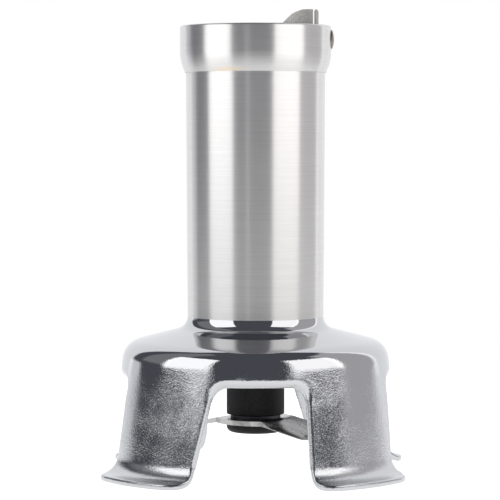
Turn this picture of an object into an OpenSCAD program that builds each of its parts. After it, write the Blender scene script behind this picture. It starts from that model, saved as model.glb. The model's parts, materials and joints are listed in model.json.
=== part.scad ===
// Detachable blending foot of an immersion blender.
// It stands on the bell's four feet. The origin is the middle of the feet at
// their underside, +Z runs up the shaft and -Y is the front.

/* [Shaft tube and collar] */
// Outer radius of the tube at its lower end
tube_r_low = 25.55; // [25.2:0.05:25.7]
// Outer radius of the tube at its upper end
tube_r_high = 26.1; // [25.9:0.05:26.2]
// Bore radius of the tube
tube_bore_r = 23.9; // [23.7:0.05:24]
// Height of the tube's lower end, where the bell's neck starts
tube_low_z = 58.4; // [57:0.2:60]
// Height of the tube's upper end, inside the collar
tube_high_z = 152; // [151:0.5:153]
// Outer radius of the collar
collar_r = 28.3; // [28:0.1:30]
// Bore radius of the collar above the tube
collar_bore_r = 25.6; // [25.55:0.05:25.7]
// Height of the collar's lower end
collar_low_z = 149.8; // [148:0.2:150]
// Height of the collar's rim
rim_z = 167.2; // [167:0.1:168]

/* [Bell] */
// Wall thickness of the bell
bell_t = 2.3; // [1.8:0.1:2.5]
// Slope of the wall away from upright, in degrees
wall_angle = 8.2; // [7:0.1:9]
// Outer radius of the wall at the reference height
wall_ref_r = 50.75; // [50:0.05:51.5]
// Reference height for the wall's radius
wall_ref_z = 38; // [38:1:38]
// Slope of the shoulder away from level, in degrees
shoulder_angle = 14.6; // [13:0.1:16]
// Height at which the shoulder's slope meets the tube's line
shoulder_z = 54.5; // [54.4:0.1:54.6]
// Outer radius of the foot flange
flange_r = 64; // [63:0.1:64.5]
// Height of the ceiling inside the bell
ceiling_z = 52.5; // [52:0.1:52.6]

/* [Windows] */
// Height of the windows' upper edge
window_z = 36; // [33:0.5:37]
// Angle from a window's middle to its left edge at the top
edge_left_top = 17.5; // [16:0.5:18]
// The same angle at the back window, whose edge slants more
edge_back_top = 14.5; // [14:0.5:18]
// Angle from a window's middle to its left edge at the feet
edge_left_foot = 24; // [23:0.5:25]
// Angle from a window's middle to its right edge
edge_right = 21.5; // [20:0.5:22]
// Rounding of a window's upper left corner
corner_left_r = 6.5; // [4:0.5:8]
// Rounding of a window's upper right corner
corner_right_r = 5; // [3:0.5:7]
// Rounding of a foot's corner at a window's left edge
foot_left_r = 8; // [6:0.5:10]
// Rounding of a foot's corner at a window's right edge
foot_right_r = 5.5; // [5:0.5:9]

/* [Hub and blade] */
// Radius of the hub below the ceiling
hub_r = 10.9; // [10.5:0.1:12]
// Height of the seal housing's lower face
housing_low_z = 21.5; // [21.3:0.1:22]
// Height of the blade's upper face
blade_top_z = 20.2; // [20:0.1:20.3]
// Thickness of the blade
blade_t = 1.8; // [1.5:0.1:2]
// Radius of the blade's flat middle
blade_middle_r = 15.2; // [14.5:0.1:16]
// Radius of the blade's tips
blade_tip_r = 32; // [26:1:36]
// Distance of an arm's ground leading edge from the arm's middle line
arm_lead = 7.3; // [6:0.1:8]
// Distance of its trailing edge from the same line
arm_trail = 7.3; // [6:0.1:8]
// Angle of an arm in plan
arm_angle = -34.8; // [-60:0.2:-30]
// Droop of an arm below level, in degrees
arm_droop = 12; // [5:1:15]
// Height of the cap's lower face
cap_low_z = 14.7; // [14.3:0.1:15]

/* [Drive shaft] */
// Radius of the drive shaft
shaft_r = 4; // [4:1:4]
// Height of the shaft's upper end
shaft_high_z = 156; // [155.5:0.1:156]
// Radius of the coupling socket's bore
socket_r = 5; // [4.5:0.1:5.5]
// Height of the coupling's upper face
coupling_high_z = 165; // [164:0.5:166]

/* [Coupling ring] */
// Bore radius of the coupling ring
ring_bore_r = 19; // [18.5:0.1:19]
// Height of the ring's upper face
ring_high_z = 165; // [164.8:0.1:165.5]
// Height of the cam lug above the feet
lug_high_z = 173.2; // [172:0.1:175]

/* [Release button] */
// Radius of the release button
button_r = 3.55; // [3.4:0.05:3.6]
// Height of the release button's middle
button_z = 162.2; // [162:0.1:162.4]
// How far the button stands out of the collar
button_out = 1.1; // [0.8:0.1:1.3]

/* [Hidden] */
$fn = 96;

steel = [0.78, 0.78, 0.80];
brushed = [0.66, 0.67, 0.69];
cast_grey = [0.52, 0.52, 0.53];
black = [0.09, 0.09, 0.10];
slack = 0.05;          // radial gap of a fit
eps = 0.01;

arc_steps = 8;         // straight steps in a rounded corner of an outline
windows = [[0, edge_left_top], [90, edge_left_top],   // turn, upper left angle
           [180, edge_back_top], [270, edge_left_top]];
window_knee_z = 7;     // height at which a window starts to widen to the feet
tube_spigot_z = 66;    // top of the bell's spigot inside the tube
spigot_t = 1.65;
ceiling_t = 3;
housing_neck_r = 9;    // the seal housing's threaded neck
housing_high_z = 62;
housing_bore_r = 5.3;
wear_sleeve_r = 5;
seal_low_z = 22.4;     // under edge of the lip seal
seal_h = 5;
o_ring_r = 0.9;
o_ring_path_r = 10;

lower_z = 28;          // lower bearing: inner radius, outer radius, width
lower_outer_r = 8;
lower_h = 5;
lower_ball_r = 1;
lower_path_r = 6;
upper_z = 143;         // upper bearing
upper_outer_r = 11;
upper_h = 7;
upper_ball_r = 1.98;
upper_path_r = 7.5;
ball_gap = 0.05;
ball_count_upper = 7;
ball_count_lower = 11;

carrier_low_z = 139;
carrier_web_t = 3.5;
screw_path_r = 21.8;
screw_r = 1.25;
screw_head_r = 2.3;
screw_angles = [40, 160, 280];
pin_r = 1.25;
pin_z = 153.4;
coupling_low_z = 151.6;
coupling_r = 9;
socket_low_z = 157;
dog_w = 2.5;           // width of the coupling's cross slots
lug_r = 23.6;          // cam lug: outer radius, wall, ends of its ramp
lug_t = 2.5;
lug_low_x = 9.7;
lug_top_x = 17.2;
lug_back_y = 5;
lug_slot_x = 21.3;     // narrow slot through the lug: its left side and width
lug_slot_w = 0.85;

button_bore_r = button_r + slack;
button_flange_r = 4.6;
button_flange_x = 24.9;
button_flange_t = 1.2;
button_travel = 1.6;
spring_low_x = 19.9;
spring_r = 2.4;
spring_wire_r = 0.3;
spring_turns = 4;

blade_low_z = blade_top_z - blade_t;
fold_u = 14;           // distance of an arm's fold line from the axis
bevel_w = 2.6;         // ground edge of the blade
edge_t = 0.3;
trail_w = 3;
trail_t = 0.8;
screw_m5_r = 2.5;
screw_m5_head_r = 4.25;
screw_m5_head_z = 17.6;

// ---- outlines -----------------------------------------------------------

function unit(v) = v / norm(v);
function turn(a) = a > 180 ? a - 360 : a < -180 ? a + 360 : a;

// Points of the arc that rounds the corner b between a and c.
function fillet(a, b, c, r) =
    let (u = unit(a - b), v = unit(c - b), half = acos(u * v) / 2,
         middle = b + unit(u + v) * r / sin(half),
         first = b + u * r / tan(half) - middle,
         last = b + v * r / tan(half) - middle,
         start = atan2(first[1], first[0]),
         sweep = turn(atan2(last[1], last[0]) - start))
    [for (i = [0:arc_steps])
        middle + r * [cos(start + sweep * i / arc_steps),
                      sin(start + sweep * i / arc_steps)]];

// An outline of corners [x, y, rounding radius] with its corners rounded.
function rounded(corners) =
    let (n = len(corners), p = [for (c = corners) [c[0], c[1]]])
    [for (i = [0:n - 1])
        each corners[i][2] == 0 ? [p[i]]
            : fillet(p[(i + n - 1) % n], p[i], p[(i + 1) % n], corners[i][2])];

// Outer radius of the bell's wall at a height.
function wall_r(z) = wall_ref_r + (wall_ref_z - z) * tan(wall_angle);
// Height of the shoulder's outer face at a radius.
function shoulder_at(r) = shoulder_z - (r - tube_r_low) * tan(shoulder_angle);
// Where the shoulder meets the wall, both moved inwards by t.
function corner_at(t) =
    let (drop = t / cos(shoulder_angle), inset = t / cos(wall_angle),
         s = tan(shoulder_angle), w = tan(wall_angle),
         z = (shoulder_z - drop + s * (tube_r_low + inset - wall_ref_r)
              - s * w * wall_ref_z) / (1 - s * w))
    [wall_ref_r - inset + (wall_ref_z - z) * w, z];

module ring(r_in, r_out, z, h) {
    translate([0, 0, z]) difference() {
        cylinder(r = r_out, h = h);
        translate([0, 0, -eps]) cylinder(r = r_in, h = h + 2 * eps);
    }
}

// ---- static shell -------------------------------------------------------

module shaft_tube() {
    color(brushed) rotate_extrude()
        polygon([[tube_bore_r, tube_low_z], [tube_r_low, tube_low_z],
                 [tube_r_high, tube_high_z], [tube_bore_r, tube_high_z]]);
}

module collar() {
    straight_z = 158;
    color(brushed) difference() {
        rotate_extrude() polygon(rounded([
            [tube_r_high + slack, collar_low_z, 0],
            [tube_r_high + 0.35, collar_low_z, 0],
            [collar_r, (collar_low_z + straight_z) / 2, 18],
            [collar_r, rim_z, 0.7],
            [collar_bore_r, rim_z, 0.5],
            [collar_bore_r, tube_high_z, 0],
            [tube_r_high + slack, tube_high_z, 0]]));
        translate([collar_bore_r - 2, 0, button_z]) rotate([0, 90, 0])
            cylinder(r = button_bore_r, h = 6);
    }
}

// Outline of a window seen square on, x to the right and y up. Below the knee
// it widens, and at the flange it runs straight down.
function window_outline(left_top) =
    let (knee = wall_r(window_knee_z), foot = flange_r - 2.5, flange_z = bell_t + 0.7)
    rounded([
        [-foot * sin(edge_left_foot), -2, 0],
        [-foot * sin(edge_left_foot), flange_z, 0],
        [-knee * sin(edge_left_foot), window_knee_z, 0],
        [-wall_r(window_z) * sin(left_top), window_z, corner_left_r],
        [wall_r(window_z) * sin(edge_right), window_z, corner_right_r],
        [knee * sin(edge_right), window_knee_z, 0],
        [foot * sin(edge_right), flange_z, 0],
        [foot * sin(edge_right), -2, 0]]);

module window(left_top) {
    translate([0, -wall_ref_r * 0.7, 0]) rotate([90, 0, 0])
        linear_extrude(height = flange_r * 0.5) polygon(window_outline(left_top));
}

// What a rounded foot corner loses: the foot lies beyond x = edge.
module foot_corner(edge, r) {
    middle = [edge + r, -sqrt(pow(flange_r - r, 2) - pow(edge + r, 2))];
    touch = middle * (flange_r + 1) / (flange_r - r);
    beyond = -flange_r - 1;
    translate([0, 0, -1]) linear_extrude(height = bell_t + 1.6) difference() {
        polygon([middle, [edge - 1, middle[1]], [edge - 1, beyond],
                 [touch[0], beyond], touch]);
        translate(middle) circle(r = r);
    }
}

module bell() {
    inner = corner_at(bell_t);
    outer = corner_at(0);
    spigot_r = tube_bore_r - slack;
    foot = flange_r - 2.5;
    color(steel) difference() {
        rotate_extrude() polygon(rounded([
            [housing_neck_r + slack, ceiling_z, 0],
            [24, ceiling_z, 0],
            [inner[0], inner[1], 5.2],
            [wall_r(0) - bell_t / cos(wall_angle), 0, 4.5],
            [flange_r, 0, 1.1],
            [flange_r, bell_t, 1.1],
            [wall_r(bell_t), bell_t, 6],
            [outer[0], outer[1], 7.5],
            [tube_r_low, shoulder_at(tube_r_low), 4.9],
            [tube_r_low, tube_low_z, 0],
            [spigot_r, tube_low_z, 0],
            [spigot_r, tube_spigot_z, 0],
            [spigot_r - spigot_t, tube_spigot_z, 0],
            [spigot_r - spigot_t, ceiling_z + ceiling_t, 0],
            [housing_neck_r + slack, ceiling_z + ceiling_t, 0]]));
        for (w = windows) rotate([0, 0, w[0]]) {
            window(w[1]);
            foot_corner(foot * sin(edge_right), foot_right_r);
            mirror([1, 0, 0]) foot_corner(foot * sin(edge_left_foot), foot_left_r);
        }
    }
}

// ---- coupling end -------------------------------------------------------

// Cam lug: the part of a round wall that lies behind an outline seen from the
// front, with the ramp that the motor's bayonet climbs and a narrow slot.
module cam_lug() {
    low = ring_high_z - 1;
    outline = rounded([
        [lug_low_x - 1, low, 0], [lug_low_x, rim_z, 0],
        [(lug_low_x + lug_top_x) / 2, lug_high_z - 2.2, 6],
        [lug_top_x, lug_high_z - 0.6, 3],
        [lug_r, lug_high_z, 1], [lug_r, low, 0]]);
    intersection() {
        ring(lug_r - lug_t, lug_r, low, lug_high_z - low);
        translate([0, lug_back_y, 0]) rotate([90, 0, 0])
            linear_extrude(height = lug_r * 1.5) polygon(outline);
    }
}

module coupling_ring() {
    seat_r = collar_bore_r - slack;
    color(cast_grey) difference() {
        union() {
            ring(ring_bore_r, seat_r, tube_high_z, ring_high_z - tube_high_z);
            cam_lug();
        }
        translate([lug_slot_x, -lug_r, ring_high_z + 2])
            cube([lug_slot_w, 2 * lug_r, 10]);
        for (a = screw_angles) rotate([0, 0, a]) translate([screw_path_r, 0, 0]) {
            translate([0, 0, tube_high_z - 1]) cylinder(r = screw_r + slack, h = 14);
            translate([0, 0, ring_high_z - 3.5]) cylinder(r = screw_head_r + 0.2, h = 4);
        }
        // pocket for the button's flange and its spring
        translate([spring_low_x - 0.3, 0, button_z]) rotate([0, 90, 0])
            cylinder(r = spring_r + 0.5, h = 8);
        translate([button_flange_x - button_flange_t - button_travel - 0.3, 0, button_z])
            rotate([0, 90, 0]) cylinder(r = button_flange_r + 0.3, h = 6);
    }
}

module ring_screws() {
    color(steel) for (a = screw_angles) rotate([0, 0, a])
        translate([screw_path_r, 0, 0]) difference() {
            union() {
                translate([0, 0, carrier_low_z + 4])
                    cylinder(r = screw_r, h = ring_high_z - 3.5 - carrier_low_z - 4 + eps);
                translate([0, 0, ring_high_z - 3.5]) cylinder(r = screw_head_r, h = 2.4);
            }
            translate([0, 0, ring_high_z - 2.6]) cylinder(r = 1.15, h = 3, $fn = 6);
        }
}

module upper_bearing_carrier() {
    seat_r = tube_bore_r - slack;
    wall_in_r = screw_path_r - 1.9;
    color([0.72, 0.72, 0.74]) difference() {
        rotate_extrude() polygon([
            [8.2, carrier_low_z], [seat_r, carrier_low_z],
            [seat_r, tube_high_z], [wall_in_r, tube_high_z],
            [wall_in_r, carrier_low_z + carrier_web_t],
            [upper_outer_r + 3, carrier_low_z + carrier_web_t],
            [upper_outer_r + 3, tube_high_z],
            [upper_outer_r + slack / 5, tube_high_z],
            [upper_outer_r + slack / 5, upper_z + upper_h + 1.3],
            [upper_outer_r + 0.7, upper_z + upper_h + 1.3],
            [upper_outer_r + 0.7, upper_z + upper_h],
            [upper_outer_r + slack / 5, upper_z + upper_h],
            [upper_outer_r + slack / 5, upper_z], [8.2, upper_z]]);
        for (a = screw_angles) rotate([0, 0, a])
            translate([screw_path_r, 0, carrier_low_z + 3.5])
                cylinder(r = screw_r, h = 12 + carrier_web_t);
    }
}

// ---- ball bearings ------------------------------------------------------

module race(r_in, r_out, z, h, path_r, ball_r) {
    difference() {
        ring(r_in, r_out, z, h);
        translate([0, 0, z + h / 2]) rotate_extrude()
            translate([path_r, 0]) circle(r = ball_r + ball_gap);
    }
}

module balls(count, z, path_r, ball_r) {
    for (i = [0:count - 1]) rotate([0, 0, 360 * i / count])
        translate([path_r, 0, z]) sphere(r = ball_r, $fn = 32);
}

module cage(count, z, path_r, ball_r) {
    half_w = ball_r * 0.3;
    difference() {
        ring(path_r - half_w, path_r + half_w, z - ball_r * 1.15, ball_r * 2.3);
        balls(count, z, path_r, ball_r + ball_gap);
    }
}

module upper_bearing_outer() {
    color(steel) race(upper_path_r + 1.5, upper_outer_r, upper_z, upper_h,
                      upper_path_r, upper_ball_r);
}

module upper_bearing_inner() {
    color(steel) race(shaft_r, upper_path_r - 1.5, upper_z, upper_h,
                      upper_path_r, upper_ball_r);
}

module upper_bearing_balls() {
    color(steel)
        balls(ball_count_upper, upper_z + upper_h / 2, upper_path_r, upper_ball_r);
}

module upper_bearing_cage() {
    color([0.75, 0.6, 0.3])
        cage(ball_count_upper, upper_z + upper_h / 2, upper_path_r, upper_ball_r);
}

module lower_bearing_outer() {
    color(steel) race(lower_path_r + 0.75, lower_outer_r, lower_z, lower_h,
                      lower_path_r, lower_ball_r);
}

module lower_bearing_inner() {
    color(steel) race(shaft_r, lower_path_r - 0.75, lower_z, lower_h,
                      lower_path_r, lower_ball_r);
}

module lower_bearing_balls() {
    color(steel)
        balls(ball_count_lower, lower_z + lower_h / 2, lower_path_r, lower_ball_r);
}

module lower_bearing_cage() {
    color([0.75, 0.6, 0.3])
        cage(ball_count_lower, lower_z + lower_h / 2, lower_path_r, lower_ball_r);
}

// A split ring seen along the axis: a gap is left at the back.
module split_ring(r_in, r_out, z, h) {
    difference() {
        ring(r_in, r_out, z, h);
        translate([-1.5, 0, z - 1]) cube([3, r_out + 1, h + 2]);
    }
}

module carrier_circlip() {
    color(black) split_ring(upper_outer_r - 1.4, upper_outer_r + 0.65,
                            upper_z + upper_h, 1.2);
}

module shaft_circlips() {
    color(black) {
        split_ring(shaft_r - 0.3, shaft_r + 1.4, upper_z - 0.9, 0.9);
        split_ring(shaft_r - 0.3, shaft_r + 1.1, lower_z + lower_h, 0.9);
    }
}

// ---- seal housing -------------------------------------------------------

module seal_housing() {
    color(black) difference() {
        union() {
            rotate_extrude() polygon(rounded([
                [0, housing_low_z, 0], [hub_r, housing_low_z, 0.4],
                [hub_r, ceiling_z, 0], [0, ceiling_z, 0]]));
            translate([0, 0, ceiling_z - eps])
                cylinder(r = housing_neck_r, h = housing_high_z - ceiling_z);
        }
        translate([0, 0, housing_low_z - 1]) cylinder(r = housing_bore_r, h = 50);
        translate([0, 0, housing_low_z - 1])
            cylinder(r = lower_outer_r, h = lower_z + lower_h - housing_low_z + 1);
        translate([0, 0, ceiling_z]) rotate_extrude()
            translate([o_ring_path_r, 0]) circle(r = o_ring_r);
    }
}

module housing_nut() {
    flats_r = 13.5 / cos(30);
    color(steel) translate([0, 0, ceiling_z + ceiling_t]) difference() {
        cylinder(r = flats_r, h = 5, $fn = 6);
        translate([0, 0, -1]) cylinder(r = housing_neck_r, h = 7);
    }
}

module housing_o_ring() {
    color(black) intersection() {
        translate([0, 0, ceiling_z]) rotate_extrude()
            translate([o_ring_path_r, 0]) circle(r = o_ring_r);
        translate([0, 0, ceiling_z - 3]) cylinder(r = 20, h = 3);
    }
}

module shaft_seal() {
    color([0.16, 0.14, 0.13]) rotate_extrude() polygon([
        [lower_outer_r, seal_low_z], [lower_outer_r, seal_low_z + seal_h],
        [lower_outer_r - 1, seal_low_z + seal_h], [lower_outer_r - 1, seal_low_z + 1.4],
        [wear_sleeve_r + 1, seal_low_z + 1.4], [wear_sleeve_r + 0.6, seal_low_z + 3],
        [wear_sleeve_r + slack, seal_low_z + 2.2], [wear_sleeve_r + 0.5, seal_low_z]]);
}

// ---- rotor --------------------------------------------------------------

module seal_sleeve() {
    flange_r_sleeve = 9.4;
    color(steel) difference() {
        union() {
            ring(shaft_r, flange_r_sleeve, blade_top_z, 1);
            ring(shaft_r, wear_sleeve_r, blade_top_z + 1 - eps,
                 lower_z - blade_top_z - 1 + eps);
        }
    }
}

module drive_shaft() {
    low = blade_low_z + 0.1;
    color(steel) difference() {
        translate([0, 0, low]) cylinder(r = shaft_r, h = shaft_high_z - low);
        // flats that drive the blade
        for (s = [-1, 1]) translate([s * 4.2 - 1, -5, low - 1])
            cube([2, 10, blade_top_z - low + 1]);
        // circlip grooves
        ring(shaft_r - 0.3, shaft_r + 1, upper_z - 0.9, 0.9);
        ring(shaft_r - 0.3, shaft_r + 1, lower_z + lower_h, 0.9);
        // thread for the blade screw and hole for the cross pin
        translate([0, 0, low - 1]) cylinder(r = screw_m5_r, h = 15);
        translate([-6, 0, pin_z]) rotate([0, 90, 0]) cylinder(r = pin_r, h = 12);
    }
}

module drive_coupling() {
    color([0.35, 0.35, 0.37]) difference() {
        rotate_extrude() polygon(rounded([
            [shaft_r, coupling_low_z, 0], [coupling_r, coupling_low_z, 0.5],
            [coupling_r, coupling_high_z, 0.8], [socket_r, coupling_high_z, 0],
            [socket_r, socket_low_z, 0], [shaft_r, socket_low_z, 0]]));
        for (a = [0, 90]) rotate([0, 0, a])
            translate([-dog_w / 2, -coupling_r - 1, coupling_high_z - 3])
                cube([dog_w, 2 * coupling_r + 2, 4]);
        translate([-coupling_r - 1, 0, pin_z]) rotate([0, 90, 0])
            cylinder(r = pin_r, h = 2 * coupling_r + 2);
    }
}

module coupling_pin() {
    color(steel) translate([-coupling_r + 0.3, 0, pin_z]) rotate([0, 90, 0])
        cylinder(r = pin_r, h = 2 * coupling_r - 0.6);
}

// One blade arm along +X, folded down at its root: a ground cutting edge in
// front and a thinner trailing edge behind.
module blade_arm() {
    section = [[-arm_lead, 0], [arm_trail - trail_w, 0],
               [arm_trail, blade_t - trail_t], [arm_trail, blade_t],
               [bevel_w - arm_lead, blade_t], [-arm_lead, edge_t]];
    translate([fold_u, 0, blade_top_z]) rotate([0, arm_droop, 0])
        translate([-fold_u, 0, -blade_t]) intersection() {
            translate([fold_u, 0, 0]) rotate([90, 0, 90])
                linear_extrude(height = blade_tip_r) polygon(section);
            cylinder(r = blade_tip_r, h = blade_t);
        }
}

module blade() {
    color(steel) difference() {
        union() {
            translate([0, 0, blade_low_z]) cylinder(r = blade_middle_r, h = blade_t);
            for (a = [0, 180]) rotate([0, 0, a + arm_angle]) blade_arm();
        }
        translate([0, 0, blade_low_z - 1]) intersection() {
            cylinder(r = shaft_r, h = blade_t + 2);
            translate([-3.2, -5, 0]) cube([6.4, 10, blade_t + 2]);
        }
    }
}

module blade_cap() {
    color(black) difference() {
        rotate_extrude() polygon(rounded([
            [screw_m5_r + slack, cap_low_z, 0], [hub_r, cap_low_z, 2.2],
            [hub_r, blade_low_z, 0], [screw_m5_r + slack, blade_low_z, 0]]));
        translate([0, 0, cap_low_z - 1])
            cylinder(r = screw_m5_head_r + 0.25, h = screw_m5_head_z - cap_low_z + 1);
    }
}

module blade_screw() {
    head_low_z = cap_low_z + 0.3;
    color(steel) difference() {
        union() {
            translate([0, 0, head_low_z])
                cylinder(r = screw_m5_head_r, h = screw_m5_head_z - head_low_z);
            translate([0, 0, screw_m5_head_z - eps]) cylinder(r = screw_m5_r, h = 12);
        }
        translate([0, 0, head_low_z - 1]) cylinder(r = 2.3, h = 2.6, $fn = 6);
    }
}

// ---- release button -----------------------------------------------------

module release_button() {
    dome_h = 0.7;
    face_x = collar_r + button_out;
    dome_r = (button_r * button_r + dome_h * dome_h) / (2 * dome_h);
    flange_low_x = button_flange_x - button_flange_t;
    color([0.42, 0.38, 0.35]) translate([0, 0, button_z]) rotate([0, 90, 0]) union() {
        intersection() {
            translate([0, 0, flange_low_x]) cylinder(r = button_r, h = 20);
            translate([0, 0, face_x - dome_r]) sphere(r = dome_r, $fn = 128);
        }
        translate([0, 0, flange_low_x])
            cylinder(r = button_flange_r, h = button_flange_t);
    }
}

// Coil from wire rings joined by a swept tube, closed at both ends.
module button_spring() {
    sides = 8;
    turn_steps = 16;
    steps = spring_turns * turn_steps;
    first = spring_low_x + spring_wire_r;
    last = button_flange_x - button_flange_t - spring_wire_r;
    function spot(i, j) =
        let (a = 360 * i / turn_steps, b = 360 * j / sides,
             r = spring_r - spring_wire_r + spring_wire_r * cos(b))
        [r * cos(a), r * sin(a),
         first + (last - first) * i / steps + spring_wire_r * sin(b)];
    color(steel) translate([0, 0, button_z]) rotate([0, 90, 0]) polyhedron(
        points = [for (i = [0:steps], j = [0:sides - 1]) spot(i, j)],
        faces = concat(
            [[for (j = [sides - 1:-1:0]) j]],
            [for (i = [0:steps - 1], j = [0:sides - 1])
                let (k = (j + 1) % sides)
                [i * sides + j, i * sides + k, (i + 1) * sides + k,
                 (i + 1) * sides + j]],
            [[for (j = [0:sides - 1]) steps * sides + j]]));
}

shaft_tube();
collar();
bell();
coupling_ring();
ring_screws();
upper_bearing_carrier();
upper_bearing_outer();
upper_bearing_inner();
upper_bearing_balls();
upper_bearing_cage();
carrier_circlip();
shaft_circlips();
lower_bearing_outer();
lower_bearing_inner();
lower_bearing_balls();
lower_bearing_cage();
shaft_seal();
seal_sleeve();
seal_housing();
housing_nut();
housing_o_ring();
drive_shaft();
drive_coupling();
coupling_pin();
blade();
blade_cap();
blade_screw();
release_button();
button_spring();
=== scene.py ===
import json
import math

import bmesh
import bpy
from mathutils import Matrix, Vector, kdtree, noise


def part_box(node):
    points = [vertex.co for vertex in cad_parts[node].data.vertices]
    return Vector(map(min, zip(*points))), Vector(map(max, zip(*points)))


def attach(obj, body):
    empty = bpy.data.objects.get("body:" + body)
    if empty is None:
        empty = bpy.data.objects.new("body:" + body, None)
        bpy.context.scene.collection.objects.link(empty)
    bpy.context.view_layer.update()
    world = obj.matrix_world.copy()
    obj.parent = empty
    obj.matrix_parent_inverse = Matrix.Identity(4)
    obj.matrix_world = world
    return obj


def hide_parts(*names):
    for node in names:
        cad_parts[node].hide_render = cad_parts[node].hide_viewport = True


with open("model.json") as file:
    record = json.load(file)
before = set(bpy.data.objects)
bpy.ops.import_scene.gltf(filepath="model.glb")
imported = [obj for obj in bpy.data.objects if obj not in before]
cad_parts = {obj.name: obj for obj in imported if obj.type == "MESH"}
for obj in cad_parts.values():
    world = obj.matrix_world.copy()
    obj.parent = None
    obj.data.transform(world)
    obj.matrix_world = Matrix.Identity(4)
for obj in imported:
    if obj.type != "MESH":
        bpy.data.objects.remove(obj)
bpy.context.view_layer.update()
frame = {"nodes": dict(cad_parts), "record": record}

MM = 0.001
NODES = frame["nodes"]


def top(node):
    """Height of a node's upper end, in millimetres."""
    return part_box(node)[1].z / MM


def low(node):
    """Height of a node's lower end, in millimetres."""
    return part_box(node)[0].z / MM


# ---- camera -------------------------------------------------------------

CAMERA_AWAY = 0.9024     # from the shaft's axis, in metres
CAMERA_UP = 0.1245
CAMERA_PITCH = 2.62      # degrees below level
CAMERA_YAW = 0.1325      # degrees to the left of the axis
LENS = 172.8             # millimetres
SENSOR = 36


def place_camera():
    data = bpy.data.cameras.new("camera")
    data.lens = LENS
    data.sensor_width = SENSOR
    data.clip_start, data.clip_end = 0.01, 50
    camera = bpy.data.objects.new("camera", data)
    bpy.context.scene.collection.objects.link(camera)
    camera.location = (0, -CAMERA_AWAY, CAMERA_UP)
    camera.rotation_euler = (math.radians(90 - CAMERA_PITCH), 0, math.radians(CAMERA_YAW))
    bpy.context.scene.camera = camera


# ---- node trees ---------------------------------------------------------

class Tree:
    """A short way to write a shader: each call makes a node and links its inputs."""

    def __init__(self, owner):
        owner.use_nodes = True
        self.tree = owner.node_tree
        self.tree.nodes.clear()

    def add(self, kind, inputs=None, **settings):
        node = self.tree.nodes.new(kind)
        for name, value in settings.items():
            setattr(node, name, value)
        for name, value in (inputs or {}).items():
            self.set(node, name, value)
        return node

    def set(self, node, name, value):
        if isinstance(value, bpy.types.Node):
            value = value.outputs[0]
        if isinstance(value, bpy.types.NodeSocket):
            self.tree.links.new(value, node.inputs[name])
        else:
            node.inputs[name].default_value = value

    def math(self, operation, a, b=0.0, c=0.0):
        return self.add("ShaderNodeMath", {0: a, 1: b, 2: c}, operation=operation)

    def ramp(self, value, low_in, high_in, low_out=0.0, high_out=1.0, smooth=False):
        kind = "SMOOTHSTEP" if smooth else "LINEAR"
        return self.add("ShaderNodeMapRange",
                        {"Value": value, "From Min": low_in, "From Max": high_in,
                         "To Min": low_out, "To Max": high_out}, interpolation_type=kind)

    def mix(self, factor, a, b):
        node = self.add("ShaderNodeMix", data_type="RGBA")
        self.set(node, 0, factor)
        self.set(node, 6, a)
        self.set(node, 7, b)
        return node.outputs[2]

    def place(self, scale=(1, 1, 1)):
        """Object coordinates, stretched by a scale along each axis."""
        spot = self.add("ShaderNodeTexCoord").outputs["Object"]
        return self.add("ShaderNodeMapping", {"Vector": spot, "Scale": scale})

    def noise(self, where, scale=1.0, detail=3.0, rough=0.5):
        return self.add("ShaderNodeTexNoise", {"Vector": where, "Scale": scale,
                                               "Detail": detail, "Roughness": rough})


# ---- studio -------------------------------------------------------------

SWEEP = 0.85             # radiance of the white sweep behind the object
SWEEP_COLOUR = (0.985, 0.99, 1.0)
SWEEP_LEFT = 1.04        # slopes that limit the sweep at its left, at its right and above
SWEEP_RIGHT = 1.55
SWEEP_TOP = 2.75
ROOM_COLOUR = (0.085, 0.09, 0.105)
SOFTBOX_AWAY = 0.32      # from the shaft's axis, in metres
SOFTBOX_LOW = 0.088
SOFTBOX_HIGH = 0.38
FLOOR_R = 0.45

# each card's colour, its limits in azimuth and in height in degrees, its radiance,
# and how soft its limits are in azimuth and in height
CARDS = [
    ((1.0, 0.97, 0.96), (76, 128), (-30, 60), 0.41, 2.0, 2.0),
    ((0.97, 0.98, 1.0), (-136, -117), (-40, 6), 0.70, 3.0, 2.0),
    ((1.0, 1.0, 1.0), (-82, -37), (-30, 3), 0.85, 2.0, 2.0),
    ((1.0, 0.985, 0.97), (28, 76), (-30, 3), 0.85, 2.0, 2.0),
    ((1.0, 1.0, 1.0), (-117, -83), (12, 70), 0.14, 2.0, 2.0),
    ((1.0, 1.0, 1.0), (-14.5, -11), (-30, 5), 0.85, 1.0, 1.0),
]


def window(t, value, start, end, soft):
    """1 between two values and 0 outside them, with soft edges."""
    rise = t.ramp(value, start - soft, start + soft, smooth=True)
    fall = t.ramp(value, end - soft, end + soft, 1.0, 0.0, smooth=True)
    return t.math("MULTIPLY", rise, fall)


def glow(t, colour, light):
    """Light of a colour, as strong as a value says."""
    flat = t.add("ShaderNodeCombineXYZ", {0: colour[0], 1: colour[1], 2: colour[2]})
    return t.add("ShaderNodeVectorMath", {0: flat, "Scale": light}, operation="SCALE")


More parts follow.
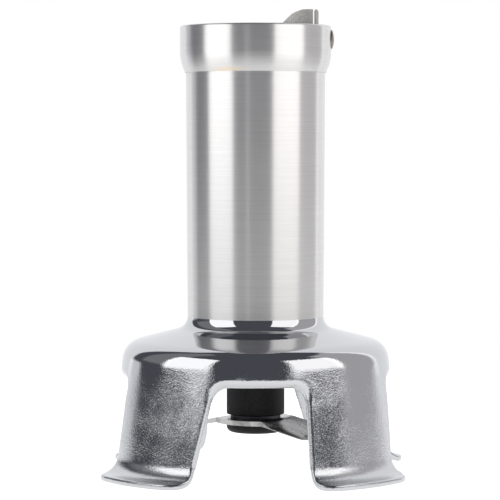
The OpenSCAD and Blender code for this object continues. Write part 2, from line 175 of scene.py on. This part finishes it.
def studio():
    """What stands round the object: a white sweep behind it, cards at its sides,
    and a dark room elsewhere. The camera itself sees plain white."""
    world = bpy.data.worlds.new("studio")
    bpy.context.scene.world = world
    t = Tree(world)
    ray = t.add("ShaderNodeTexCoord").outputs["Generated"]
    x, y, z = t.add("ShaderNodeSeparateXYZ", {0: ray}).outputs
    # azimuth is 0 towards the front and 90 to the right, in degrees
    azimuth = t.math("DEGREES", t.math("ARCTAN2", x, t.math("MULTIPLY", y, -1.0)))
    height = t.math("DEGREES", t.math("ARCSINE", z))

    def card(colour, across, upwards, radiance, soft, soft_up):
        mask = t.math("MULTIPLY", window(t, azimuth, *across, soft),
                      window(t, height, *upwards, soft_up))
        return glow(t, colour, t.math("MULTIPLY", mask, radiance))

    # the sweep fills what lies behind, up to 70 degrees above the horizon
    left_of = t.math("ADD", x, t.math("MULTIPLY", y, SWEEP_LEFT))
    right_of = t.math("SUBTRACT", t.math("MULTIPLY", y, SWEEP_RIGHT), x)
    under = t.math("SUBTRACT", t.math("MULTIPLY", y, SWEEP_TOP), z)
    sides = t.math("MULTIPLY", t.ramp(left_of, -0.03, 0.03),
                   t.ramp(right_of, -0.03, 0.03))
    sweep = t.math("MULTIPLY", sides, t.ramp(under, -0.02, 0.1, smooth=True))
    lights = [glow(t, SWEEP_COLOUR, t.math("MULTIPLY", sweep, SWEEP))]
    lights += [card(*row) for row in CARDS]
    total = glow(t, ROOM_COLOUR, 1.0)
    for light in lights:
        total = t.add("ShaderNodeVectorMath", {0: total, 1: light}, operation="ADD")
    lit = t.add("ShaderNodeBackground", {"Color": total, "Strength": 1.0})
    plain = t.add("ShaderNodeBackground", {"Color": (1, 1, 1, 1), "Strength": 1.0})
    seen = t.add("ShaderNodeLightPath").outputs["Is Camera Ray"]
    both = t.add("ShaderNodeMixShader", {0: seen, 1: lit, 2: plain})
    t.add("ShaderNodeOutputWorld", {0: both})


def softbox(name, azimuth, spread, radiance, colour):
    """A flat light at an azimuth in degrees, spreading over so many degrees."""
    wide = 2 * SOFTBOX_AWAY * math.tan(math.radians(spread / 2))
    tall = SOFTBOX_HIGH - SOFTBOX_LOW
    data = bpy.data.lights.new(name, "AREA")
    data.shape = "RECTANGLE"
    data.size, data.size_y = wide, tall
    data.color = colour
    data.energy = radiance * math.pi * wide * tall
    light = bpy.data.objects.new(name, data)
    bpy.context.scene.collection.objects.link(light)
    a = math.radians(azimuth)
    light.location = (SOFTBOX_AWAY * math.sin(a), -SOFTBOX_AWAY * math.cos(a),
                      (SOFTBOX_LOW + SOFTBOX_HIGH) / 2)
    light.rotation_euler = (math.radians(90), 0, a)
    light.visible_camera = False


def floor():
    bm = bmesh.new()
    bmesh.ops.create_circle(bm, cap_ends=True, segments=96, radius=FLOOR_R)
    make("floor", bm, floor_paper())


def floor_paper():
    """White paper that glows, more for the camera than for the object."""
    material = bpy.data.materials.new("floor_paper")
    t = Tree(material)
    seen = t.add("ShaderNodeLightPath").outputs["Is Camera Ray"]
    shader = t.add("ShaderNodeBsdfPrincipled", {
        "Base Color": (0.75, 0.75, 0.75, 1), "Roughness": 0.9,
        "Emission Color": (1, 1, 1, 1), "Emission Strength": t.ramp(seen, 0, 1, 0.70, 1.0)})
    t.add("ShaderNodeOutputMaterial", {0: shader})
    return material


# ---- meshes -------------------------------------------------------------

SHARP = math.radians(32)  # faces that meet at more than this keep a sharp edge


def make(name, bm, material, body=None):
    """Turns a bmesh into a finished piece, smooth but for its sharp edges."""
    for face in bm.faces:
        face.smooth = True
    for edge in bm.edges:
        edge.smooth = len(edge.link_faces) != 2 or edge.calc_face_angle() < SHARP
    mesh = bpy.data.meshes.new(name)
    bm.to_mesh(mesh)
    bm.free()
    mesh.materials.append(material)
    piece = bpy.data.objects.new(name, mesh)
    bpy.context.scene.collection.objects.link(piece)
    if body:
        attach(piece, body)
    return piece


def arc_corner(a, b, c, r, steps):
    """Points of the arc that rounds the corner b between a and c."""
    u, v = (a - b).normalized(), (c - b).normalized()
    half = u.angle(v) / 2
    middle = b + (u + v).normalized() * r / math.sin(half)
    first = b + u * r / math.tan(half) - middle
    last = b + v * r / math.tan(half) - middle
    start = math.atan2(first.y, first.x)
    sweep = (math.atan2(last.y, last.x) - start + math.pi) % math.tau - math.pi
    return [middle + Vector((math.cos(start + sweep * i / steps),
                             math.sin(start + sweep * i / steps))) * r
            for i in range(steps + 1)]


def rounded(corners, steps=8):
    """A line through corners (x, y, rounding radius) with its corners rounded."""
    spots = [Vector((x, y)) for x, y, r in corners]
    points = []
    for i, (x, y, r) in enumerate(corners):
        if r == 0:
            points.append(spots[i])
        else:
            after = spots[(i + 1) % len(spots)]
            points += arc_corner(spots[i - 1], spots[i], after, r, steps)
    return points


def lengths(points):
    """Distance along a line of points, at each point."""
    total = [0.0]
    for a, b in zip(points, points[1:]):
        total.append(total[-1] + (b - a).length)
    return total


def along(points, marks, distance):
    """The point of a line at a distance along it."""
    distance = min(max(distance, 0.0), marks[-1])
    for i in range(1, len(points)):
        if distance <= marks[i]:
            share = (distance - marks[i - 1]) / max(marks[i] - marks[i - 1], 1e-9)
            return points[i - 1].lerp(points[i], share)
    return points[-1]


def spun(name, outline, material, body, steps=192):
    """A solid of revolution about the shaft's axis, from an outline in millimetres."""
    bm = bmesh.new()
    verts = [bm.verts.new((p[0] * MM, 0, p[1] * MM)) for p in outline]
    edges = [bm.edges.new(pair) for pair in zip(verts, verts[1:] + verts[:1])]
    bmesh.ops.spin(bm, geom=verts + edges, cent=(0, 0, 0), axis=(0, 0, 1), dvec=(0, 0, 0),
                   angle=math.tau, steps=steps, use_merge=True, use_duplicate=False)
    bmesh.ops.remove_doubles(bm, verts=bm.verts, dist=1e-7)
    bmesh.ops.recalc_face_normals(bm, faces=bm.faces)
    return make(name, bm, material, body)


def subdivided(piece, levels):
    """Smooths a piece with a subdivision surface, applied to its mesh."""
    subsurf = piece.modifiers.new("smooth", "SUBSURF")
    subsurf.levels = subsurf.render_levels = levels
    depsgraph = bpy.context.evaluated_depsgraph_get()
    mesh = bpy.data.meshes.new_from_object(piece.evaluated_get(depsgraph))
    old = piece.data
    piece.modifiers.clear()
    piece.data = mesh
    bpy.data.meshes.remove(old)


# ---- finishes -----------------------------------------------------------

def metal(name, colour, roughness):
    material = bpy.data.materials.new(name)
    t = Tree(material)
    shader = t.add("ShaderNodeBsdfPrincipled", {
        "Base Color": (*colour, 1), "Metallic": 1.0, "Roughness": roughness})
    t.add("ShaderNodeOutputMaterial", {0: shader})
    return material, t, shader


def rough(t, shader, height, strength, distance):
    """Bumps a shader by a height, in metres."""
    t.set(shader, "Normal", t.add("ShaderNodeBump", {
        "Height": height, "Strength": strength, "Distance": distance}))


TINT_COLOUR = (0.86, 0.68, 0.45)
TINT_STRENGTH = 0.5
TINT_TALL = 0.0014       # metres above the joint
TINT_LEFT = -0.015
TINT_RIGHT = -0.005


def heat_tint(t):
    """How straw-coloured the steel is where the collar was joined to the tube."""
    x, y, z = t.add("ShaderNodeSeparateXYZ", {0: t.place()}).outputs
    seam = low("collar") * MM
    band = window(t, z, seam, seam + TINT_TALL, 0.0005)
    across = window(t, x, TINT_LEFT, TINT_RIGHT, 0.003)
    front = t.ramp(y, 0, -0.005, 0.0, TINT_STRENGTH)
    return t.math("MULTIPLY", band, t.math("MULTIPLY", across, front))


def brushed_steel():
    """Stainless brushed round the shaft: fine level scratches and a tall highlight."""
    material, t, shader = metal("brushed_steel", (0.74, 0.73, 0.72), 0.33)
    lines = t.noise(t.place((25, 25, 6500)), detail=4.0, rough=0.7)
    runs = t.noise(t.place((60, 60, 1900)), detail=3.0, rough=0.6)
    tone = t.math("ADD", t.math("MULTIPLY", lines, 0.6), t.math("MULTIPLY", runs, 0.4))
    steel = t.mix(t.ramp(tone, 0.3, 0.7), (0.69, 0.675, 0.66, 1), (0.80, 0.795, 0.79, 1))
    t.set(shader, "Base Color", t.mix(heat_tint(t), steel, (*TINT_COLOUR, 1)))
    t.set(shader, "Roughness", t.ramp(tone, 0.3, 0.7, 0.30, 0.36))
    shader.inputs["Metallic"].default_value = 0.9
    shader.inputs["Anisotropic"].default_value = 0.9
    t.set(shader, "Tangent", t.add("ShaderNodeCombineXYZ", {0: 0.0, 1: 0.0, 2: 1.0}))
    return material


PEEL_TOP = 0.048         # metres: above this height there is hardly any orange peel
PEEL_LOW = 0.033         # and below this one there is all of it


def polished_steel():
    """Hand-polished stainless with a fine orange peel."""
    material, t, shader = metal("polished_steel", (0.635, 0.64, 0.655), 0.05)
    peel = t.noise(t.place(), 1500.0, 2.0, 0.6)
    pits = t.noise(t.place(), 3200.0, 1.0)
    patches = t.ramp(t.noise(t.place(), 60.0, 2.0), 0.38, 0.6, 0.55, 1.0)
    z = t.add("ShaderNodeSeparateXYZ", {0: t.place()}).outputs["Z"]
    walls = t.ramp(z, PEEL_TOP, PEEL_LOW, 0.06, 1.0)
    height = t.math("ADD", peel, t.math("MULTIPLY", pits, 0.6))
    depth = t.math("MULTIPLY", patches, walls)
    rough(t, shader, t.math("MULTIPLY", height, depth), 1.0, 0.000085)
    t.set(shader, "Roughness", t.ramp(depth, 0, 1, 0.04, 0.11))
    return material


def cast_zinc():
    """Grey die-cast metal with a coarse skin."""
    material, t, shader = metal("cast_zinc", (0.42, 0.415, 0.41), 0.5)
    grain = t.noise(t.place(), 2200.0, 4.0, 0.7)
    t.set(shader, "Base Color", t.mix(
        t.ramp(grain, 0.35, 0.65), (0.24, 0.235, 0.225, 1), (0.62, 0.61, 0.59, 1)))
    t.set(shader, "Roughness", t.ramp(grain, 0.3, 0.7, 0.38, 0.6))
    rough(t, shader, grain, 0.8, 0.00012)
    return material


def turned(name, colour, roughness, pitch=2500.0):
    """Metal turned on a lathe: fine rings about the shaft's axis."""
    material, t, shader = metal(name, colour, roughness)
    x, y, z = t.add("ShaderNodeSeparateXYZ", {0: t.place()}).outputs
    away = t.math("SQRT", t.math("ADD", t.math("MULTIPLY", x, x), t.math("MULTIPLY", y, y)))
    rings = t.noise(t.add("ShaderNodeCombineXYZ", {0: away, 1: z}), pitch, 3.0, 0.6)
    darker = tuple(c * 0.8 for c in colour)
    t.set(shader, "Base Color", t.mix(t.ramp(rings, 0.3, 0.7), (*darker, 1), (*colour, 1)))
    t.set(shader, "Roughness", t.ramp(rings, 0.3, 0.7, roughness * 0.8, roughness * 1.25))
    rough(t, shader, rings, 0.3, 0.00002)
    return material


def plain_metal(name, colour, roughness, scale=900.0, depth=0.00002):
    """Metal with a faint blotchy grain."""
    material, t, shader = metal(name, colour, roughness)
    grain = t.noise(t.place(), scale, 4.0, 0.65)
    darker = tuple(c * 0.78 for c in colour)
    t.set(shader, "Base Color", t.mix(t.ramp(grain, 0.3, 0.7), (*darker, 1), (*colour, 1)))
    t.set(shader, "Roughness", t.ramp(grain, 0.3, 0.7, roughness * 0.75, roughness * 1.3))
    rough(t, shader, grain, 0.4, depth)
    return material


def dull(name, colour, roughness, scale, depth):
    """A moulded plastic or rubber with a fine matte grain."""
    material = bpy.data.materials.new(name)
    t = Tree(material)
    shader = t.add("ShaderNodeBsdfPrincipled", {
        "Base Color": (*colour, 1), "Roughness": roughness, "Specular IOR Level": 0.22})
    grain = t.noise(t.place(), scale, 3.0, 0.6)
    lighter = tuple(c * 1.9 + 0.003 for c in colour)
    t.set(shader, "Base Color", t.mix(t.ramp(grain, 0.4, 0.75), (*colour, 1), (*lighter, 1)))
    t.set(shader, "Roughness", t.ramp(grain, 0.3, 0.7, roughness * 0.85, roughness * 1.15))
    rough(t, shader, grain, 0.5, depth)
    t.add("ShaderNodeOutputMaterial", {0: shader})
    return material


def finishes():
    """The finish of each of the record's material slots."""
    return {
        "brushed_tube": brushed_steel(),
        "polished_bell": polished_steel(),
        "cast_ring": cast_zinc(),
        "machined_steel": turned("machined_steel", (0.62, 0.62, 0.63), 0.24),
        "turned_aluminium": turned(
            "turned_aluminium", (0.74, 0.74, 0.76), 0.32, 1600.0),
        "bearing_steel": plain_metal(
            "bearing_steel", (0.68, 0.68, 0.70), 0.12, 500.0, 0.000004),
        "brass_cage": plain_metal("brass_cage", (0.72, 0.52, 0.22), 0.28),
        "spring_steel": plain_metal("spring_steel", (0.09, 0.09, 0.10), 0.35),
        "black_plastic": dull(
            "black_plastic", (0.011, 0.011, 0.012), 0.5, 1800.0, 0.00004),
        "seal_rubber": dull(
            "seal_rubber", (0.022, 0.020, 0.019), 0.75, 2600.0, 0.00003),
        "coupling_steel": plain_metal(
            "coupling_steel", (0.17, 0.17, 0.18), 0.42, 2600.0, 0.00006),
        "blade_steel": plain_metal("blade_steel", (0.62, 0.61, 0.60), 0.22, 700.0),
        "button_metal": plain_metal(
            "button_metal", (0.36, 0.32, 0.29), 0.42, 2200.0, 0.00006),
    }


# ---- bell ---------------------------------------------------------------

# lengths in millimetres and angles in degrees, unless they say otherwise
TUBE_R = 25.55           # outer radius of the neck, the same as the tube's
BELL_T = 2.3             # thickness of the sheet
WALL_LEAN = math.tan(math.radians(8.2))
WALL_REF_R = 50.75       # outer radius of the wall at the reference height
WALL_REF_Z = 38
SHOULDER_FALL = math.tan(math.radians(14.6))
SHOULDER_Z = 54.5
FLANGE_R = 64
FLANGE_BEND = 6          # radii of the outer face where the flange, the shoulder and
SHOULDER_BEND = 7.5      # the neck begin
NECK_BEND = 4.9
WINDOW_Z = 36            # height of the windows' upper edges
KNEE_Z = 7               # height at which a window's edge reaches its full width
EDGE_FOOT = 24           # angle from a window's middle to its left edge at the foot
EDGE_RIGHT = 21.5        # and to its right edge
# each window's azimuth, and the angle from its middle to its left edge at the top
EDGE_TOPS = {-180: 14.5, -90: 17.5, 0: 17.5, 90: 17.5, 180: 14.5}
LEFT_ROUNDS = (6.5, 9.0)   # radii of a window's upper corner and of the foot beside it
RIGHT_ROUNDS = (5.0, 7.1)
KNEE_ROUND = 12
COLUMNS = 168            # of the bell's sheet, a multiple of 8
ROWS = 44
LEFT_COLUMNS = 9         # from a window's middle to its left edge
RIGHT_COLUMNS = 10
SHEET_R = 52             # radius at which the flat sheet has its true width
SMOOTHINGS = 60          # of the sheet's rows and columns
RIM_ROUND = 1.0          # bevel of the sheet's edges
RIM_ANGLE = math.radians(60)


def wall_r(z):
    """Outer radius of the wall at a height."""
    return WALL_REF_R + (WALL_REF_Z - z) * WALL_LEAN


def bell_profile():
    """The bell's outer face from the flange's edge up to the neck."""
    shoulder = (SHOULDER_Z + SHOULDER_FALL * (TUBE_R - WALL_REF_R)
                - SHOULDER_FALL * WALL_LEAN * WALL_REF_Z) / (1 - SHOULDER_FALL * WALL_LEAN)
    return rounded([
        (FLANGE_R, BELL_T, 0), (wall_r(BELL_T), BELL_T, FLANGE_BEND),
        (wall_r(shoulder), shoulder, SHOULDER_BEND), (TUBE_R, SHOULDER_Z, NECK_BEND),
        (TUBE_R, low("shaft_tube"), 0)], steps=16)


def height_mark(profile, marks, z):
    """Distance along the profile at which its wall reaches a height."""
    for i in range(1, len(profile)):
        if profile[i].y >= z and profile[i - 1].y < z:
            share = (z - profile[i - 1].y) / (profile[i].y - profile[i - 1].y)
            return marks[i - 1] + (marks[i] - marks[i - 1]) * share
    return marks[-1]


def flat_x(angle):
    """Where an azimuth lies on the flat sheet."""
    return math.radians(angle) * SHEET_R


def window_side(middle, side, marks_at):
    """Half of a window's outline and half of the foot beside it, on the flat sheet."""
    top_angle = EDGE_TOPS[middle] if side < 0 else EDGE_RIGHT
    foot_angle = EDGE_FOOT if side < 0 else EDGE_RIGHT
    corner, foot = LEFT_ROUNDS if side < 0 else RIGHT_ROUNDS
    return rounded([
        (flat_x(middle), marks_at(WINDOW_Z), 0),
        (flat_x(middle + side * top_angle), marks_at(WINDOW_Z), corner),
        (flat_x(middle + side * foot_angle), marks_at(KNEE_Z), KNEE_ROUND),
        (flat_x(middle + side * foot_angle), 0, foot),
        (flat_x(middle + side * 45), 0, 0)], steps=12)


def bell_sheet():
    """The bell's outer face as a sheet with four windows cut out of it."""
    profile = bell_profile()
    marks = lengths(profile)
    bm = bmesh.new()
    bmesh.ops.create_grid(bm, x_segments=COLUMNS, y_segments=ROWS, size=1)
    grid = {}
    for vert in bm.verts:
        i = round((vert.co.x + 1) / 2 * COLUMNS)
        j = round((vert.co.y + 1) / 2 * ROWS)
        grid[i, j] = vert
        vert.co = (flat_x(360 * i / COLUMNS - 180), marks[-1] * j / ROWS, 0)

    def marks_at(z):
        return height_mark(profile, marks, z)

    top_row = round(marks_at(WINDOW_Z) / marks[-1] * ROWS)
    quarter = COLUMNS // 4
    cut = []
    for face in bm.faces:
        middle = face.calc_center_median()
        column = (middle.x / flat_x(360) + 0.5) * COLUMNS
        offset = (column + quarter / 2) % quarter - quarter / 2
        below = middle.y < marks[-1] * top_row / ROWS
        if below and -LEFT_COLUMNS < offset < RIGHT_COLUMNS:
            cut.append(face)
    bmesh.ops.delete(bm, geom=cut, context="FACES")
    for middle, side, count in [(m, s, LEFT_COLUMNS if s < 0 else RIGHT_COLUMNS)
                                for m in EDGE_TOPS for s in (-1, 1)]:
        start = round((middle + 180) / 360 * COLUMNS)
        if (start == 0 and side < 0) or (start == COLUMNS and side > 0):
            continue
        edge = start + side * count
        chain = [grid[start + side * k, top_row] for k in range(count)]
        chain += [grid[edge, j] for j in range(top_row, -1, -1)]
        chain += [grid[edge + side * k, 0] for k in range(1, quarter // 2 - count + 1)]
        outline = window_side(middle, side, marks_at)
        outline_marks = lengths(outline)
        for k, vert in enumerate(chain):
            spot = along(outline, outline_marks, outline_marks[-1] * k / (len(chain) - 1))
            vert.co = (spot.x, spot.y, 0)
    inner = [v for v in bm.verts if not v.is_boundary]
    for _ in range(SMOOTHINGS):
        bmesh.ops.smooth_vert(bm, verts=inner, factor=0.5, use_axis_x=True,
                              use_axis_y=True)
    for vert in bm.verts:
        angle = vert.co.x / SHEET_R
        r, z = along(profile, marks, vert.co.y)
        vert.co = Vector((r * math.sin(angle), -r * math.cos(angle), z)) * MM
    bmesh.ops.remove_doubles(bm, verts=bm.verts, dist=1e-6)
    bmesh.ops.recalc_face_normals(bm, faces=bm.faces)
    return bm


ROLL_HEADER = 3.4        # radius at which a window's upper edge is rolled in
ROLL_SIDE = 1.3          # and its other edges
ROLL_TURN = math.sin(math.radians(75))
ROLL_SPACING = 0.25      # between the points that follow an edge
HEADER_BELOW = 6         # how far under the upper edge the larger radius begins
HEADER_RUN = 5           # and over what height it grows to its full size


def window_edges():
    """Points along the windows' edges above the knee, as (flat x, height)."""
    profile = bell_profile()
    marks = lengths(profile)
    edges = []
    for middle in EDGE_TOPS:
        for side in (-1, 1):
            line = window_side(middle, side, lambda z: height_mark(profile, marks, z))
            line_marks = lengths(line)
            steps = round(line_marks[-1] / ROLL_SPACING)
            for k in range(steps + 1):
                spot = along(line, line_marks, line_marks[-1] * k / steps)
                height = along(profile, marks, spot.y).y
                if height > KNEE_Z:
                    edges.append((spot.x, height, 0))
    return edges


def roll_edges(piece):
    """Rolls the bell's wall inwards along the windows' edges."""
    edges = window_edges()
    tree = kdtree.KDTree(len(edges))
    for i, spot in enumerate(edges):
        tree.insert(spot, i)
    tree.balance()
    for vert in piece.data.vertices:
        x, y, z = vert.co / MM
        near, _, away = tree.find((math.atan2(x, -y) * SHEET_R, z, 0))
        share = min(max((near.y - WINDOW_Z + HEADER_BELOW) / HEADER_RUN, 0), 1)
        roll = ROLL_SIDE + (ROLL_HEADER - ROLL_SIDE) * share
        turn = (1 - min(away / (roll * ROLL_TURN), 1)) * ROLL_TURN
        inward = Vector((-x, -y, 0)).normalized()
        vert.co += inward * roll * (1 - math.sqrt(1 - turn * turn)) * MM


WAVES = ((75, 0.085), (180, 0.03))  # how close together they are, and how deep
WAVES_TOP = 50           # height at which they have faded out
WAVES_FADE = 6           # and the height over which they fade


def hand_polished(piece):
    """The slight waves that polishing by hand leaves on the bell's lower part."""
    mesh = piece.data
    normals = [vert.normal.copy() for vert in mesh.vertices]
    for vert, normal in zip(mesh.vertices, normals):
        wave = sum(noise.noise(vert.co * scale) * depth for scale, depth in WAVES)
        fade = min(max((WAVES_TOP - vert.co.z / MM) / WAVES_FADE, 0), 1)
        vert.co += normal * wave * fade * MM
        vert.co.z = max(vert.co.z, 0)


def bell(material):
    """The bell with its neck, four windows and four feet, as one sheet of steel."""
    bm = bell_sheet()
    outward = sum(face.normal.xy.dot(face.calc_center_median().xy) for face in bm.faces)
    if outward < 0:
        bmesh.ops.reverse_faces(bm, faces=bm.faces)
    bmesh.ops.solidify(bm, geom=bm.faces[:], thickness=BELL_T * MM)
    crease = bm.edges.layers.float.new("crease_edge")
    neck = (low("shaft_tube") - 0.1) * MM
    rim = []
    for edge in bm.edges:
        if len(edge.link_faces) == 2 and edge.calc_face_angle() > RIM_ANGLE:
            if min(v.co.z for v in edge.verts) > neck:
                edge[crease] = 1.0
            else:
                rim.append(edge)
    bmesh.ops.bevel(bm, geom=rim, offset=RIM_ROUND * MM, offset_type="OFFSET",
                    segments=3, profile=0.5, affect="EDGES", material=-1,
                    clamp_overlap=True)
    piece = make("bell_shell", bm, material, "foot")
    subdivided(piece, 1)
    roll_edges(piece)
    hand_polished(piece)
    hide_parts("bell")


CEILING_HOLE = 9.05      # radius of the hole for the seal housing's neck
CEILING_R = 26.5
CEILING_LOW = 52.5
CEILING_TOP = 55
CEILING_ROUND = 0.2


def bell_ceiling(material):
    """The ring that closes the bell's top round the seal housing."""
    outline = rounded([
        (CEILING_HOLE, CEILING_LOW, CEILING_ROUND), (CEILING_R, CEILING_LOW, 0),
        (CEILING_R, CEILING_TOP, 0), (CEILING_HOLE, CEILING_TOP, CEILING_ROUND)], steps=3)
    piece = spun("bell_ceiling", outline, material, "foot")


# ---- blade --------------------------------------------------------------

BLADE_T = 1.8            # thickness of the strip
BLADE_ANGLE = math.radians(-34.8)
BLADE_DROOP = math.tan(math.radians(12))
BLADE_TIP_R = 31.5
FOLD = 11.2              # distance of an arm's fold line from the axis
LEAD = 12.4              # distance of the ground leading edge from the middle line
TRAIL = 10.2             # and of the blunt trailing edge
MIDDLE_R = 15.2          # half of the blade's width between its arms
GROUND = 2.6             # width of the ground edge
GROUND_T = 0.35          # thickness that grinding leaves
GROUND_RUN = 4           # length over which the ground edge begins
BLUNT = 0.2              # width that an edge's first row takes where it isn't ground
SHAFT_HOLE = 4.05        # radius
STATIONS = 48            # along the blade, a multiple of 2
TIP_GAP = 0.1            # the last station stays this far short of the tip
FOLD_CATCH = 1.3         # stations this near a fold line are moved on to it


def blade_half_width(u, side):
    """Distance from the blade's middle line to its edge, u along it from the axis."""
    leading = u * side < 0
    arm = LEAD if leading else TRAIL
    if abs(u) < FOLD:
        share = (1 - u * side / FOLD) / 2
        straight = TRAIL + (LEAD - TRAIL) * share
        bulge = MIDDLE_R - (LEAD + TRAIL) / 2
        arm = straight + bulge * (1 - (u / FOLD) ** 2)
    return min(arm, math.sqrt(BLADE_TIP_R ** 2 - u * u))


def blade_low(u):
    """Height of the blade's underside, which lies on the cap and droops past the folds."""
    return top("blade_cap") - max(abs(u) - FOLD, 0) * BLADE_DROOP


def blade_point(u, row):
    """A point of the blade's upper face: row 0 to 3 runs from edge to edge."""
    side = -1 if row < 2 else 1
    width = blade_half_width(u, side)
    ground = min(max((abs(u) - FOLD) / GROUND_RUN, 0), 1) if u * side < 0 else 0
    thick = BLADE_T
    if row in (0, 3):
        thick -= (BLADE_T - GROUND_T) * ground
    else:
        width -= min(BLUNT + (GROUND - BLUNT) * ground, width * 0.5)
    v = width * side
    return Vector((u * math.cos(BLADE_ANGLE) - v * math.sin(BLADE_ANGLE),
                   u * math.sin(BLADE_ANGLE) + v * math.cos(BLADE_ANGLE),
                   blade_low(u) + thick)) * MM


def drilled(piece, radius):
    """Cuts a hole for the shaft through a piece."""
    bm = bmesh.new()
    bmesh.ops.create_cone(bm, cap_ends=True, segments=64, radius1=radius * MM,
                          radius2=radius * MM, depth=0.1)
    drill = make("drill", bm, piece.data.materials[0])
    cut = piece.modifiers.new("hole", "BOOLEAN")
    cut.object = drill
    depsgraph = bpy.context.evaluated_depsgraph_get()
    mesh = bpy.data.meshes.new_from_object(piece.evaluated_get(depsgraph))
    piece.modifiers.clear()
    piece.data = mesh
    bpy.data.objects.remove(drill)


def blade(material):
    """The bent blade: a flat middle, two drooping arms and two ground edges."""
    bm = bmesh.new()
    bmesh.ops.create_grid(bm, x_segments=STATIONS, y_segments=3, size=1)
    for vert in bm.verts:
        row = round((vert.co.y + 1) * 1.5)
        # closer together towards the tips, to follow their round ends
        u = math.sin(vert.co.x * math.pi / 2) * (BLADE_TIP_R - TIP_GAP)
        if abs(abs(u) - FOLD) < FOLD_CATCH:
            u = math.copysign(FOLD, u)
        vert.co = blade_point(u, row)
    under = bmesh.ops.extrude_face_region(bm, geom=bm.faces[:], use_keep_orig=True)
    for vert in under["geom"]:
        if isinstance(vert, bmesh.types.BMVert):
            u = vert.co.x * math.cos(BLADE_ANGLE) + vert.co.y * math.sin(BLADE_ANGLE)
            vert.co.z = blade_low(u / MM) * MM
    bmesh.ops.dissolve_degenerate(bm, dist=1e-6, edges=bm.edges[:])
    bmesh.ops.recalc_face_normals(bm, faces=bm.faces)
    piece = make("blade_strip", bm, material, "rotor")
    drilled(piece, SHAFT_HOLE)
    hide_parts("blade")


# ---- everything ---------------------------------------------------------

place_camera()
studio()
softbox("left_softbox", -59.5, 45, 1.4, (1.0, 1.0, 1.0))
softbox("right_softbox", 52, 48, 1.36, (1.0, 0.985, 0.97))
floor()

finish = finishes()
slots = {part["node"]: part["material_slot"] for part in frame["record"]["subparts"]}
for name, slot in slots.items():
    materials = NODES[name].data.materials
    materials.clear()
    materials.append(finish[slot])

bell(finish["polished_bell"])
bell_ceiling(finish["polished_bell"])
blade(finish["blade_steel"])

bpy.context.scene.view_settings.view_transform = "Standard"
